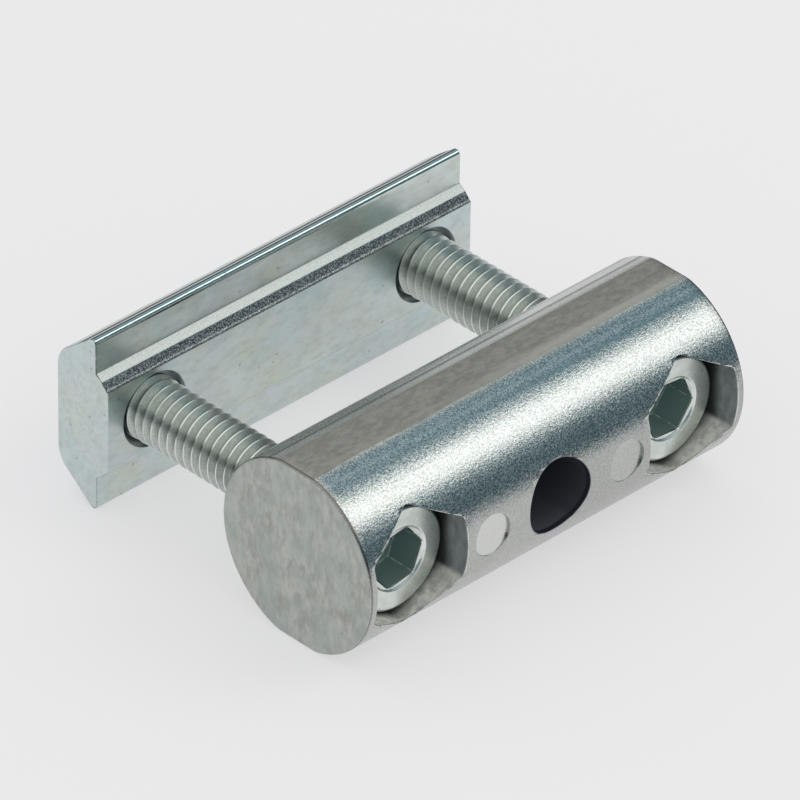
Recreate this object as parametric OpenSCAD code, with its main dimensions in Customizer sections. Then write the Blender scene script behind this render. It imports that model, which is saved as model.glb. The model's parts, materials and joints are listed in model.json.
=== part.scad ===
// Yoke connector for slotted aluminium profile.
// A die-cast barrel lies in a cross bore of one profile. Two cap screws pass through it
// and pull a double slot nut, which sits in the slot of the other profile.
// X runs along the barrel, -Y faces the screw heads, +Y the slot nut, and +Z is up.
// The origin is the middle of the barrel, on the axis of its centre bore.

/* [Barrel] */
// Diameter of the barrel
barrel_d = 18; // [16:0.1:22]
// Wall between a screw pocket and the end of the barrel
end_wall = 0.8; // [0.5:0.1:3]
// Depth of the flats on the parting line, at the top and the bottom
parting_flat_depth = 0.3; // [0.1:0.05:0.6]
// Radius of the rim round each end
rim_round = 0.25; // [0.1:0.05:0.5]
// Diameter of the cored bore through the middle
centre_bore_d = 7; // [5:0.1:9]

/* [Screw pockets] */
// Distance between the two screw axes
screw_spacing = 32; // [30:0.5:44]
// Thickness of the barrel behind the seat of a screw head, on the screw's axis
seat_wall = 9; // [7:0.1:10]
// Gap between a screw head and the flats of its hexagonal pocket
head_clearance = 0.2; // [0.1:0.05:0.4]
// Gap all round a screw in its hole through the barrel
hole_clearance = 0.3; // [0.1:0.05:0.6]

/* [Ejector marks] */
// Diameter of the two round marks beside the centre bore
mark_d = 4; // [3:0.1:4.5]
// Depth of a mark below the barrel's front line
mark_depth = 0.25; // [0.1:0.05:0.5]
// Gap between a mark and the nearest flat of a screw pocket
mark_gap = 0.9; // [0.5:0.1:1.5]

/* [Cap screws] */
// Outside diameter of the thread
thread_d = 6; // [5:0.1:7]
// Length of a screw under its head
screw_length = 30; // [24:0.5:40]
// Diameter of a screw head
head_d = 10; // [9:0.1:11]
// Height of a screw head
head_height = 6; // [5:0.1:7]
// Radius of the edge round the top of a head
head_round = 0.5; // [0.2:0.05:0.8]
// Distance across the flats of the hexagonal socket
socket_flats = 5; // [4:0.1:6]
// Depth of the socket's flats
socket_depth = 3.2; // [2:0.1:4]
// Width of the bevel round the socket's mouth
socket_bevel = 0.2; // [0.1:0.05:0.4]
// Bevel at the tip of the thread
tip_bevel = 0.7; // [0.3:0.1:1]
// Turn of the left screw's socket, with 0 for a corner towards +X
left_socket_turn = 9; // [-30:1:30]
// Turn of the right screw's socket
right_socket_turn = -6; // [-30:1:30]
// Gap under a screw head before it is pulled tight
seat_clearance = 0.05; // [0.02:0.01:0.2]

/* [Slot nut] */
// Distance from a screw axis to the end of the nut
nut_end = 5.4; // [4.5:0.1:8]
// Height of the nut over its two lips
nut_height = 17.4; // [16:0.1:18]
// Thickness of the nut behind its lip faces
flange_thickness = 4.8; // [4:0.1:6]
// Slope of the back bevels against the lip edges
back_slope = 38; // [30:1:45]
// Radius of the lip edges
lip_round = 0.6; // [0.3:0.05:0.8]
// Radius where the back bevels meet the back
back_round = 2.5; // [1:0.1:3]
// Depth of the neck in front of the lip faces
neck_depth = 1.45; // [1:0.05:2]
// Width of the neck at the lip faces
neck_root_width = 10.6; // [10.2:0.1:11]
// Width of the neck at its knee, where its sides turn steeper
neck_knee_width = 9.8; // [9.4:0.1:10.1]
// Depth of the knee behind the front of the neck
neck_knee_depth = 0.7; // [0.3:0.05:0.9]
// Width of the flat front of the neck
neck_face_width = 8.2; // [7.8:0.1:9]
// Width of the countersink round each tapped hole
countersink = 0.6; // [0.3:0.05:0.7]
// Gap between the screw thread and the tapped hole
thread_clearance = 0.05; // [0.02:0.01:0.1]
// Depth of the screw tips inside the back of the nut, as supplied
tip_recess = 0.1; // [0:0.05:1]

/* [Hidden] */
$fn = 64;
hexagon = 6;
// Steps in the arc of a rounded edge
round_steps = 6;
// Cuts run this far past the face that they open through
overcut = 1;

barrel_r = barrel_d / 2;
pocket_flats = head_d + 2 * head_clearance;
barrel_length = screw_spacing + pocket_flats + 2 * end_wall;
barrel_height = barrel_d - 2 * parting_flat_depth;
seat_y = barrel_r - seat_wall;
hole_d = thread_d + 2 * hole_clearance;
mark_x = screw_spacing / 2 - pocket_flats / 2 - mark_gap - mark_d / 2;

screw_x = screw_spacing / 2;
head_seat_y = seat_y - seat_clearance;
head_r = head_d / 2;
socket_corner_r = socket_flats / 2 / cos(30);
// The drill that roughs out a socket leaves a cone of 120 degrees at its foot
socket_cone_depth = socket_flats / 2 * tan(30);

nut_length = screw_spacing + 2 * nut_end;
nut_thickness = neck_depth + flange_thickness;
nut_front_y = head_seat_y + screw_length + tip_recess - nut_thickness;
tapped_d = thread_d + 2 * thread_clearance;
// The lip faces and back bevels would meet in an edge above the rounded lip
lip_corner_z = nut_height / 2 + lip_round * (tan(back_slope) + 1 / cos(back_slope) - 1);
back_corner_z = lip_corner_z - flange_thickness * tan(back_slope);

// The arc that rounds corner p between its neighbours a and b, from a's side to b's
function unit(v) = v / norm(v);
function half_angle(p, a, b) = acos(unit(a - p) * unit(b - p)) / 2;
function touch(p, a, b, r) = p + unit(a - p) * r / tan(half_angle(p, a, b));
function centre(p, a, b, r) = p + unit(unit(a - p) + unit(b - p)) * r / sin(half_angle(p, a, b));
function rounded(p, a, b, r) =
    let (
        c = centre(p, a, b, r),
        from = touch(p, a, b, r) - c,
        to = touch(p, b, a, r) - c
    )
    [for (i = [0 : round_steps]) c + r * unit(from + (to - from) * i / round_steps)];

// Turns what stands along Z to lie along Y, pointing to the back
module along_y() {
    rotate([-90, 0, 0]) children();
}

// Turns a profile drawn in depth and height into a bar along X
module along_x(length) {
    rotate([90, 0, 90]) linear_extrude(length, center = true) children();
}

// A profile turned about the barrel's axis, with rounded rims
module barrel_blank() {
    half = barrel_length / 2;
    top = [0, half];
    foot = [0, -half];
    top_edge = [barrel_r, half];
    foot_edge = [barrel_r, -half];
    rotate([0, 90, 0])
    rotate_extrude()
    polygon(concat(
        [foot],
        rounded(foot_edge, foot, top_edge, rim_round),
        rounded(top_edge, foot_edge, top, rim_round),
        [top]
    ));
}

// Hexagonal pocket for a head, corners up and down, and the hole behind it
module screw_pocket() {
    pocket_depth = seat_y + barrel_r + overcut;
    translate([0, seat_y - pocket_depth, 0])
    along_y()
    rotate(90)
    cylinder(d = pocket_flats / cos(30), h = pocket_depth, $fn = hexagon);
    along_y() cylinder(d = hole_d, h = barrel_d + 2 * overcut, center = true);
}

module ejector_mark() {
    translate([0, mark_depth - barrel_r - overcut, 0])
    along_y()
    cylinder(d = mark_d, h = overcut);
}

module yoke_barrel() {
    color([0.55, 0.59, 0.60])
    difference() {
        intersection() {
            barrel_blank();
            cube([barrel_length + overcut, barrel_d + overcut, barrel_height], center = true);
        }
        for (side = [-1, 1]) {
            translate([side * screw_x, 0, 0]) screw_pocket();
            translate([side * mark_x, 0, 0]) ejector_mark();
        }
        along_y() cylinder(d = centre_bore_d, h = barrel_d + 2 * overcut, center = true);
    }
}

// Outline of a screw from its axis, with 0 at the underside of the head
module screw_outline() {
    face = [0, -head_height];
    edge = [head_r, -head_height];
    under = [head_r, 0];
    thread_r = thread_d / 2;
    polygon(concat(
        [face],
        rounded(edge, face, under, head_round),
        [
            under,
            [thread_r, 0],
            [thread_r, screw_length - tip_bevel],
            [thread_r - tip_bevel, screw_length],
            [0, screw_length]
        ]
    ));
}

// Hexagonal socket, from the face of the head inwards
module socket(turn) {
    mouth_r = socket_corner_r + socket_bevel;
    translate([0, 0, -head_height]) {
        rotate(-turn)
        translate([0, 0, -overcut])
        cylinder(r = socket_corner_r, h = socket_depth + overcut, $fn = hexagon);
        translate([0, 0, socket_depth])
        cylinder(r1 = socket_flats / 2, r2 = 0, h = socket_cone_depth);
        translate([0, 0, -overcut])
        cylinder(r1 = mouth_r + overcut, r2 = socket_corner_r - overcut, h = socket_bevel + 2 * overcut);
    }
}

module cap_screw(x, turn) {
    color([0.68, 0.72, 0.70])
    translate([x, head_seat_y, 0])
    along_y()
    difference() {
        rotate_extrude() screw_outline();
        socket(turn);
    }
}

module cap_screw_left() {
    cap_screw(-screw_x, left_socket_turn);
}

module cap_screw_right() {
    cap_screw(screw_x, right_socket_turn);
}

// Section of the nut, with depth from the front of its neck
module nut_section() {
    root = [neck_depth, neck_root_width / 2];
    lip_corner = [neck_depth, lip_corner_z];
    back_corner = [nut_thickness, back_corner_z];
    back_middle = [nut_thickness, 0];
    upper = concat(
        [[0, neck_face_width / 2], [neck_knee_depth, neck_knee_width / 2], root],
        rounded(lip_corner, root, back_corner, lip_round),
        rounded(back_corner, lip_corner, back_middle, back_round)
    );
    lower = [for (i = [len(upper) - 1 : -1 : 0]) [upper[i].x, -upper[i].y]];
    polygon(concat(upper, lower));
}

// Hole for the thread, countersunk at both faces of the nut
module tapped_hole() {
    mouth_r = tapped_d / 2 + countersink;
    along_y() {
        translate([0, 0, -overcut]) cylinder(d = tapped_d, h = nut_thickness + 2 * overcut);
        translate([0, 0, -overcut])
        cylinder(r1 = mouth_r + overcut, r2 = mouth_r - countersink, h = countersink + overcut);
        translate([0, 0, nut_thickness - countersink])
        cylinder(r1 = mouth_r - countersink, r2 = mouth_r + overcut, h = countersink + overcut);
    }
}

module slot_nut() {
    color([0.74, 0.79, 0.79])
    translate([0, nut_front_y, 0])
    difference() {
        along_x(nut_length) nut_section();
        for (side = [-1, 1]) translate([side * screw_x, 0, 0]) tapped_hole();
    }
}

yoke_barrel();
cap_screw_left();
cap_screw_right();
slot_nut();
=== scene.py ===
"""Yoke connector: a die-cast barrel, two cap screws and a double slot nut, with their finishes and a stage.

Meshes are built in millimetres and brought to metres at the end.
"""

import json
import math
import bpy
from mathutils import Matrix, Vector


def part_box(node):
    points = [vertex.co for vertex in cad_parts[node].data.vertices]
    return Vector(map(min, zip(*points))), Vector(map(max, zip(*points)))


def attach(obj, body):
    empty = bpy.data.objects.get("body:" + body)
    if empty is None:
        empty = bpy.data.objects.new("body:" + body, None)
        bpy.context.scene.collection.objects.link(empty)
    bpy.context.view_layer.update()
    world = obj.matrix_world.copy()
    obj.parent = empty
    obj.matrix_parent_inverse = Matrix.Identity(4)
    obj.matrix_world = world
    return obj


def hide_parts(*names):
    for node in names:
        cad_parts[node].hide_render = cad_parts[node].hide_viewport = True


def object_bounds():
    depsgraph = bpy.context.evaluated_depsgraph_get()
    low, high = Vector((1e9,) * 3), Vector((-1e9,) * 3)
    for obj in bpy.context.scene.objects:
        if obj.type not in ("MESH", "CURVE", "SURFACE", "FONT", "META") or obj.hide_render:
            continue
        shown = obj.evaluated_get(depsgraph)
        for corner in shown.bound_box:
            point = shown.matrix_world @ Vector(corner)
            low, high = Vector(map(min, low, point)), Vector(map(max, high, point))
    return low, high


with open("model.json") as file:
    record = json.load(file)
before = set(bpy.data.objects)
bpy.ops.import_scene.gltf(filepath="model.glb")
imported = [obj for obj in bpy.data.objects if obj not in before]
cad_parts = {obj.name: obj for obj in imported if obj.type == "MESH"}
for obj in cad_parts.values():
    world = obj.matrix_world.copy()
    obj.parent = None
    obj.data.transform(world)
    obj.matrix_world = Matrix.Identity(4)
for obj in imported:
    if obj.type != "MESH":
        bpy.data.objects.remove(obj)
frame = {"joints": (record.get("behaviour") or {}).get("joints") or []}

from types import SimpleNamespace

import bmesh
import bpy
from bpy.props import FloatProperty, FloatVectorProperty, PointerProperty
from mathutils import Matrix, Vector

bl_info = {
    "name": "Yoke connector",
    "version": (1, 0, 0),
    "blender": (4, 5, 0),
    "location": "View3D > Sidebar > Yoke",
    "description": "Builds a yoke connector for slotted profile, with its finishes and a studio stage",
    "category": "Object",
}

MM = 0.001
CAD_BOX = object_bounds()
BARREL_LOW, BARREL_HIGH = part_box("yoke_barrel")
NUT_LOW, NUT_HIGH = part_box("slot_nut")
SCREW_LOW, SCREW_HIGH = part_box("cap_screw_left")
SCREW_AXIS = next(j["pos_m"] for j in frame["joints"] if j["name"] == "left_screw_turn")
SCREW_X = abs(SCREW_AXIS[0])
# The screw heads keep this gap from their seats, so a seat lies that much behind a head's underside
SEAT_GAP = 0.05 * MM
SEAT_Y = SCREW_AXIS[1] + SEAT_GAP
FLOOR_Z = CAD_BOX[0].z

# Points closer than this many millimetres are one
WELD = 0.002
# Cuts run this many millimetres past the face that they open through
OVERCUT = 1.0
BARREL_SEGMENTS = 192
BARREL_RINGS = 43
ROUND_SEGMENTS = 96
THREAD_STEPS = 48
# The blend at the edges of the parting flats: how often points are smoothed, and by which share
FLAT_SMOOTHING = 3
FLAT_SMOOTHING_SHARE = 0.5
# How many faces make up a rounded edge
RIM_STEPS = 4
POCKET_CORNER_STEPS = 3
EDGE_STEPS = 2
HEAD_STEPS = 6
LIP_STEPS = 8
NUT_EDGE_STEPS = 3
# Edges that turn by more than this are rounded
BARREL_HARD_EDGE = math.radians(20)
SCREW_HARD_EDGE = math.radians(25)
NUT_HARD_EDGE = math.radians(12)
# Edges that turn by more than this are shaded sharp
SHARP_EDGE = math.radians(40)
HEXAGON = 6
HALF_SECTOR = math.radians(30)
# Where the groove of the thread ends and its crest starts and ends, as shares of the pitch
GROOVE_END, CREST_START, CREST_END = 0.18, 0.55, 0.66
# The cone at the foot of a socket: its slope, then in millimetres its ledge, its overlap and its point
FOOT_SLOPE = math.radians(30)
FOOT_LEDGE, FOOT_OVERLAP, FOOT_POINT = 0.25, 0.1, 0.02
# The mesh layer that marks rounded edges
EDGE_LAYER = "edge_wear"
ALONG_X = Matrix.Rotation(math.radians(90), 4, "Y")
ALONG_Y = Matrix.Rotation(math.radians(-90), 4, "X")
UPRIGHT = Matrix.Rotation(math.radians(90), 4, "X")


# Settings

def length(name, description, millimetres):
    """A length property with its default in millimetres."""
    return FloatProperty(
        name=name, description=description, default=millimetres * MM, unit="LENGTH", precision=5)


def angle(name, description, degrees):
    """An angle property with its default in degrees."""
    return FloatProperty(
        name=name, description=description, default=math.radians(degrees), subtype="ANGLE", unit="ROTATION")


def colour(name, description, red, green, blue):
    """A colour property in linear light."""
    return FloatVectorProperty(
        name=name, description=description, default=(red, green, blue), size=3, min=0.0, max=1.0,
        subtype="COLOR")


class YokeBarrelSettings(bpy.types.PropertyGroup):
    """Sizes and colours of the die-cast barrel."""

    rim_round: length("Rim round", "Radius of the rim round each end", 0.25)
    edge_round: length("Edge round", "Width of the rounded edges of pockets and holes", 0.11)
    flat_rise: length("Flat rise", "How far the upper flat lies over the lower one's depth", 0.06)
    flat_blend: length("Flat blend", "Height below a parting flat at which its edge starts to blend in", 0.35)
    pocket_flats: length("Pocket flats", "Width across the flats of a screw pocket", 10.4)
    pocket_corner: length("Pocket corners", "Width of the rounding in the corners of a pocket", 0.35)
    hole_diameter: length("Hole", "Diameter of the hole behind a pocket", 6.6)
    bore_diameter: length("Centre bore", "Diameter of the bore through the middle", 7.0)
    mark_diameter: length("Ejector mark", "Diameter of an ejector mark", 4.0)
    mark_depth: length("Mark depth", "Depth of a mark below the front line of the barrel", 0.25)
    mark_offset: length("Mark offset", "Distance of a mark from the centre bore's axis", 7.9)
    metal: colour("Zinc", "Colour of the tumbled zinc", 0.53, 0.54, 0.52)
    cast_skin: colour("Cast skin", "Colour of the untouched skin on the parting flats", 0.41, 0.39, 0.362)
    end_metal: colour("End faces", "Colour of the sawn ends", 0.595, 0.595, 0.56)
    end_green: colour("End tint", "Greenish patches on the sawn ends", 0.46, 0.52, 0.485)
    # Painted shade: a dark line round each rim, stronger towards the top, and the dark grooves along the back
    rim_and_groove_shade: colour("Rim", "Colour of the dull line round each end", 0.16, 0.15, 0.14)
    mark_metal: colour("Marks", "Colour of the ejector marks", 0.74, 0.75, 0.72)
    pocket_metal: colour("Pockets", "Colour inside the pockets", 0.36, 0.40, 0.40)
    # Painted light: the lower walls of the pockets face up towards the light and are painted much paler than
    # the rest
    pocket_low_lit: colour("Low walls", "Colour of the lower walls of the pockets", 0.76, 0.77, 0.69)
    pocket_low_dark: colour("Low patches", "Colour of the darker patches on those walls", 0.45, 0.47, 0.43)
    # Painted reflection: a dark band along the front between the upper flat and the highlight, partly streaks
    # in the metal
    front_reflection_shade: colour("Streak", "Colour of the dull line in front of the upper flat", 0.30, 0.39, 0.40)
    # Also painted highlight: this colour paints the pale lines and the paler upper back as well as the worn
    # edges
    wear_and_highlight: colour("Worn", "Colour of worn edges and pale lines", 0.75, 0.77, 0.76)
    # Painted shade: the centre bore is painted near black, where little light reaches into it
    bore_shade: colour("Bore skin", "Colour of the dark skin in the centre bore", 0.07, 0.075, 0.095)


class YokeScrewSettings(bpy.types.PropertyGroup):
    """Sizes and colours of the two cap screws."""

    thread_diameter: length("Thread", "Outside diameter of the thread", 5.94)
    thread_depth: length("Thread depth", "Depth of the thread", 0.58)
    pitch: length("Pitch", "Distance from crest to crest", 1.0)
    head_diameter: length("Head", "Diameter of the head", 10.0)
    head_height: length("Head height", "Height of the head", 6.0)
    head_round: length("Head round", "Radius of the edge round the face of the head", 0.35)
    socket_flats: length("Socket", "Width across the flats of the socket", 5.0)
    socket_depth: length("Socket depth", "Depth of the socket's flats", 3.2)
    socket_bevel: length("Socket bevel", "Width of the bevel round the socket's mouth", 0.2)
    tip_bevel: length("Tip bevel", "Bevel at the tip of the thread", 0.7)
    edge_round: length("Edge round", "Width of the rounded edges of the head and socket", 0.07)
    left_turn: angle("Left socket turn", "Turn of the left screw's socket", 9.0)
    right_turn: angle("Right socket turn", "Turn of the right screw's socket", -6.0)
    metal: colour("Plating", "Colour of the zinc plating on the thread", 0.66, 0.71, 0.67)
    # Painted light: the head is painted paler than the same plating on the thread
    head: colour("Head", "Colour of the zinc plating on the head", 0.82, 0.87, 0.82)
    # Painted shade: the grooves of the thread are painted darker
    groove_shade: colour("Grooves", "Colour of the grooves of the thread", 0.45, 0.50, 0.46)
    # Painted shade: the inside of the socket is painted dark green-grey
    socket_shade: colour("Socket", "Colour of the plating inside the socket", 0.32, 0.44, 0.42)
    # Also painted highlight: the crests are painted pale for glints as well as for wear
    wear_and_highlight: colour("Worn", "Colour of worn edges and crests", 0.85, 0.88, 0.84)


class YokeNutSettings(bpy.types.PropertyGroup):
    """Sizes and colours of the slot nut."""

    flange: length("Flange", "Thickness behind the lip faces", 4.8)
    back_slope: angle("Back slope", "Slope of the back bevels", 38.0)
    height: length("Height", "Height over the two lips", 17.4)
    lip_round: length("Lip round", "Radius of the lip edges", 0.45)
    back_round: length("Back round", "Radius where the back bevels meet the back", 2.5)
    neck_root: length("Neck root", "Width of the neck at the lip faces", 10.75)
    neck_knee: length("Neck knee", "Width of the neck where its sides turn steeper", 9.75)
    knee_depth: length("Knee depth", "Depth of the knee behind the front of the neck", 0.75)
    neck_face: length("Neck face", "Width of the flat front of the neck", 8.2)
    countersink: length("Countersink", "Width of the countersink round a tapped hole", 0.6)
    thread_gap: length("Thread gap", "Gap between the threads of screw and nut", 0.06)
    edge_round: length("Edge round", "Width of the rounded edges", 0.07)
    metal: colour("Plating", "Colour of the zinc plating", 0.65, 0.73, 0.73)
    warm_tint: colour("Warm tint", "Warm shade of the passivation", 0.64, 0.69, 0.57)
    cool_tint: colour("Cool tint", "Cool shade of the passivation", 0.55, 0.68, 0.70)
    pink_tint: colour("Pink tint", "Pink shade of the passivation", 0.64, 0.65, 0.66)
    strip: colour("Strip", "Colour of the bright strip beside the neck", 0.55, 0.57, 0.545)
    # This dark colour paints the speckled band on the neck's sloped sides, and the painted shade in the
    # holes, on the back bevels and along the end edges
    scale: colour("Scale", "Colour of the dark rough skin", 0.045, 0.058, 0.07)
    # Also painted highlight: this colour paints the pale line along the edge of the neck's face as well as
    # worn specks
    wear_and_highlight: colour("Worn", "Colour of worn specks and lines", 0.72, 0.735, 0.71)


class YokeStageSettings(bpy.types.PropertyGroup):
    """The view, the floor and the light."""

    azimuth: angle("Azimuth", "Turn of the camera round the object", -44.432)
    elevation: angle("Elevation", "Height of the camera over the floor", 34.828)
    roll: angle("Roll", "Turn of the camera about its own axis", 0.848)
    distance: length("Distance", "Distance of the camera from the middle of the barrel", 894.157)
    floor: colour("Floor", "Colour of the floor", 0.34, 0.34, 0.342)
    floor_glow: colour("Floor glow", "What the floor adds where it is seen or mirrored", 0.53, 0.53, 0.535)
    surround: colour("Surround", "Light from all round", 0.80, 0.80, 0.81)
    card: colour("Cards", "Colour of the dark cards overhead that the metal mirrors", 0.215, 0.36, 0.435)
    left_card: colour("Left card", "Colour of the dark card on the left", 0.02, 0.035, 0.035)
    right_card: colour("Right card", "Colour of the dark card on the right", 0.07, 0.10, 0.11)
    top_panel: colour("Top panel", "Colour of the pale panel over the middle", 1.0, 1.0, 0.97)
    back_low: colour("Back", "Colour of the backdrop low behind the object", 0.36, 0.39, 0.39)
    horizon: colour("Horizon", "Colour of the cards low in front", 0.092, 0.157, 0.187)
    back_panel: colour("Back panel", "Colour of the pale panel over and behind the object", 0.78, 0.81, 0.76)
    key: colour("Key light", "Colour of the main light", 1.0, 0.97, 0.92)


def values_of(group):
    """The values of a property group, with its lengths in millimetres and its colours as tuples."""
    values = {}
    for name in group.__annotations__:
        value = getattr(group, name)
        prop = group.bl_rna.properties[name]
        if prop.subtype == "COLOR":
            value = tuple(value)
        elif prop.unit == "LENGTH":
            value = value / MM
        values[name] = value
    return SimpleNamespace(**values)


def times(tint, factor):
    """A colour times a factor."""
    return tuple(part * factor for part in tint)


# Mesh building

def rod(radius, start, end, x=0.0, end_radius=None, segments=ROUND_SEGMENTS, turn=0.0):
    """A closed rod along Y from start to end, with another radius at its end if that is given."""
    bm = bmesh.new()
    place = Matrix.Translation((x, (start + end) / 2, 0)) @ ALONG_Y @ Matrix.Rotation(turn, 4, "Z")
    bmesh.ops.create_cone(
        bm, cap_ends=True, segments=segments, radius1=radius,
        radius2=radius if end_radius is None else end_radius, depth=end - start, matrix=place)
    return bm


def rounded_edges(bm, edges, width, segments):
    """Bevels edges to an arc and gives the new faces."""
    made = bmesh.ops.bevel(
        bm, geom=edges, offset=width, offset_type="OFFSET", affect="EDGES", segments=segments,
        profile=0.5, material=-1, clamp_overlap=False, loop_slide=True)
    return made["faces"]


def rim_edges(bm, axis, place):
    """The edges that lie in the plane at a place along an axis."""
    return [e for e in bm.edges if all(abs(v.co[axis] - place) < WELD for v in e.verts)]


def close_holes(bm):
    """Fills open edges and points all faces outwards."""
    bmesh.ops.holes_fill(bm, edges=[e for e in bm.edges if e.is_boundary])
    bmesh.ops.recalc_face_normals(bm, faces=bm.faces)


def loose_object(name, bm):
    """A linked object from a bmesh, which is used up."""
    mesh = bpy.data.meshes.new(name)
    bm.to_mesh(mesh)
    bm.free()
    obj = bpy.data.objects.new(name, mesh)
    bpy.context.scene.collection.objects.link(obj)
    return obj


def remove_object(obj):
    """Removes an object and its mesh."""
    mesh = obj.data
    bpy.data.objects.remove(obj)
    bpy.data.meshes.remove(mesh)


def cut(bm, tools):
    """The bmesh with each tool cut out of it."""
    target = loose_object("target", bm)
    helpers = [loose_object("tool", tool) for tool in tools]
    for helper in helpers:
        modifier = target.modifiers.new("cut", "BOOLEAN")
        modifier.operation = "DIFFERENCE"
        modifier.solver = "EXACT"
        modifier.object = helper
    depsgraph = bpy.context.evaluated_depsgraph_get()
    mesh = bpy.data.meshes.new_from_object(target.evaluated_get(depsgraph), depsgraph=depsgraph)
    result = bmesh.new()
    result.from_mesh(mesh)
    bpy.data.meshes.remove(mesh)
    for obj in [target, *helpers]:
        remove_object(obj)
    bmesh.ops.remove_doubles(result, verts=result.verts, dist=WELD)
    bmesh.ops.dissolve_degenerate(result, edges=result.edges, dist=WELD)
    return result


def soften(bm, width, segments, sharpest, wanted=None):
    """Rounds every edge that turns by more than an angle, and marks the new faces as worn."""
    wear_and_highlight = bm.loops.layers.float.new(EDGE_LAYER)
    hard = [
        e for e in bm.edges
        if e.is_manifold and e.calc_face_angle() > sharpest and (wanted is None or wanted(e))]
    for face in rounded_edges(bm, hard, width, segments):
        for loop in face.loops:
            loop[wear_and_highlight] = 1.0


def finished_piece(name, bm, material, body, node):
    """A piece in metres that rides on a body and stands for its CAD node."""
    bmesh.ops.recalc_face_normals(bm, faces=bm.faces)
    bmesh.ops.scale(bm, vec=(MM, MM, MM), verts=bm.verts)
    for face in bm.faces:
        face.smooth = True
    piece = loose_object(name, bm)
    piece.data.materials.append(material)
    piece.data.set_sharp_from_angle(angle=SHARP_EDGE)
    normals = piece.modifiers.new("even_shading", "WEIGHTED_NORMAL")
    normals.keep_sharp = True
    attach(piece, body)
    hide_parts(node)


# Barrel

def barrel_blank(size):
    """The round barrel with its two parting flats and its rims."""
    half, radius, flat = BARREL_HIGH.x / MM, BARREL_HIGH.y / MM, BARREL_HIGH.z / MM
    bm = bmesh.new()
    bmesh.ops.create_cone(
        bm, cap_ends=True, segments=BARREL_SEGMENTS, radius1=radius, radius2=radius,
        depth=2 * half, matrix=ALONG_X)
    long_edges = [e for e in bm.edges if abs(e.verts[0].co.x - e.verts[1].co.x) > OVERCUT]
    bmesh.ops.subdivide_edges(bm, edges=long_edges, cuts=BARREL_RINGS, use_grid_fill=True)
    for vert in bm.verts:
        vert.co.z = max(-flat, min(flat + size.flat_rise, vert.co.z))
    near_flats = [v for v in bm.verts if abs(v.co.z) > flat - size.flat_blend]
    for _ in range(FLAT_SMOOTHING):
        bmesh.ops.smooth_vert(
            bm, verts=near_flats, factor=FLAT_SMOOTHING_SHARE, use_axis_y=True, use_axis_z=True)
    rims = rim_edges(bm, 0, half) + rim_edges(bm, 0, -half)
    rounded_edges(bm, rims, size.rim_round, RIM_STEPS)
    return bm


def pocket_tool(size, x):
    """The hexagonal pocket for a screw head, corners up and down."""
    front = BARREL_LOW.y / MM - OVERCUT
    seat = SEAT_Y / MM
    corner_radius = size.pocket_flats / 2 / math.cos(HALF_SECTOR)
    bm = rod(corner_radius, front, seat, x, segments=HEXAGON)
    corners = [e for e in bm.edges if abs(e.verts[0].co.y - e.verts[1].co.y) > OVERCUT]
    rounded_edges(bm, corners, size.pocket_corner, POCKET_CORNER_STEPS)
    return bm


def barrel_tools(size):
    """All that is cut from the barrel."""
    screw_x = SCREW_X / MM
    front, back = BARREL_LOW.y / MM - OVERCUT, BARREL_HIGH.y / MM + OVERCUT
    tools = [rod(size.bore_diameter / 2, front, back)]
    for side in (-1, 1):
        x = side * screw_x
        tools.append(pocket_tool(size, x))
        tools.append(rod(size.hole_diameter / 2, front, back, x))
    return tools


def mark_tools(size):
    """The two shallow ejector marks."""
    front = BARREL_LOW.y / MM
    return [
        rod(size.mark_diameter / 2, front - OVERCUT, front + size.mark_depth, side * size.mark_offset)
        for side in (-1, 1)]


def cast_barrel(size):
    """The barrel with all that is cut from it and its edges rounded."""
    inside_rims = BARREL_HIGH.x / MM - size.rim_round - size.edge_round

    def between_rims(edge):
        return all(abs(v.co.x) < inside_rims for v in edge.verts)

    bm = cut(barrel_blank(size), barrel_tools(size))
    soften(bm, size.edge_round, EDGE_STEPS, BARREL_HARD_EDGE, between_rims)
    return cut(bm, mark_tools(size))


# Screws

def thread_outline(size, grow):
    """One pitch of the thread as radius and distance along it, from groove to groove."""
    crest = size.thread_diameter / 2 + grow
    root = crest - size.thread_depth
    pitch = size.pitch
    return [
        (root, 0.0), (root, GROOVE_END * pitch), (crest, CREST_START * pitch), (crest, CREST_END * pitch),
        (root, pitch)]


def threaded_bar(size, start, end, x=0.0, grow=0.0):
    """A closed bar along Y with a right-hand thread, cut square at both ends."""
    bm = bmesh.new()
    pitch = size.pitch
    first_turn = math.floor(start / pitch) - 1
    turns = math.ceil(end / pitch) + 1 - first_turn
    verts = [bm.verts.new((r, first_turn * pitch + y, 0)) for r, y in thread_outline(size, grow)]
    edges = [bm.edges.new(pair) for pair in zip(verts, verts[1:])]
    bmesh.ops.spin(
        bm, geom=verts + edges, cent=(0, 0, 0), axis=(0, 1, 0), dvec=(0, pitch / THREAD_STEPS, 0),
        angle=2 * math.pi, steps=THREAD_STEPS, use_merge=False, use_duplicate=False)
    one_turn = bm.verts[:] + bm.edges[:] + bm.faces[:]
    for turn in range(1, turns):
        copy = bmesh.ops.duplicate(bm, geom=one_turn)["geom"]
        moved = [g for g in copy if isinstance(g, bmesh.types.BMVert)]
        bmesh.ops.translate(bm, vec=(0, turn * pitch, 0), verts=moved)
    bmesh.ops.remove_doubles(bm, verts=bm.verts, dist=WELD)
    for place, side in ((start, -1), (end, 1)):
        bmesh.ops.bisect_plane(
            bm, geom=bm.verts[:] + bm.edges[:] + bm.faces[:], plane_co=(0, place, 0),
            plane_no=(0, side, 0), clear_outer=True)
    close_holes(bm)
    bmesh.ops.translate(bm, vec=(x, 0, 0), verts=bm.verts)
    return bm


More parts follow.
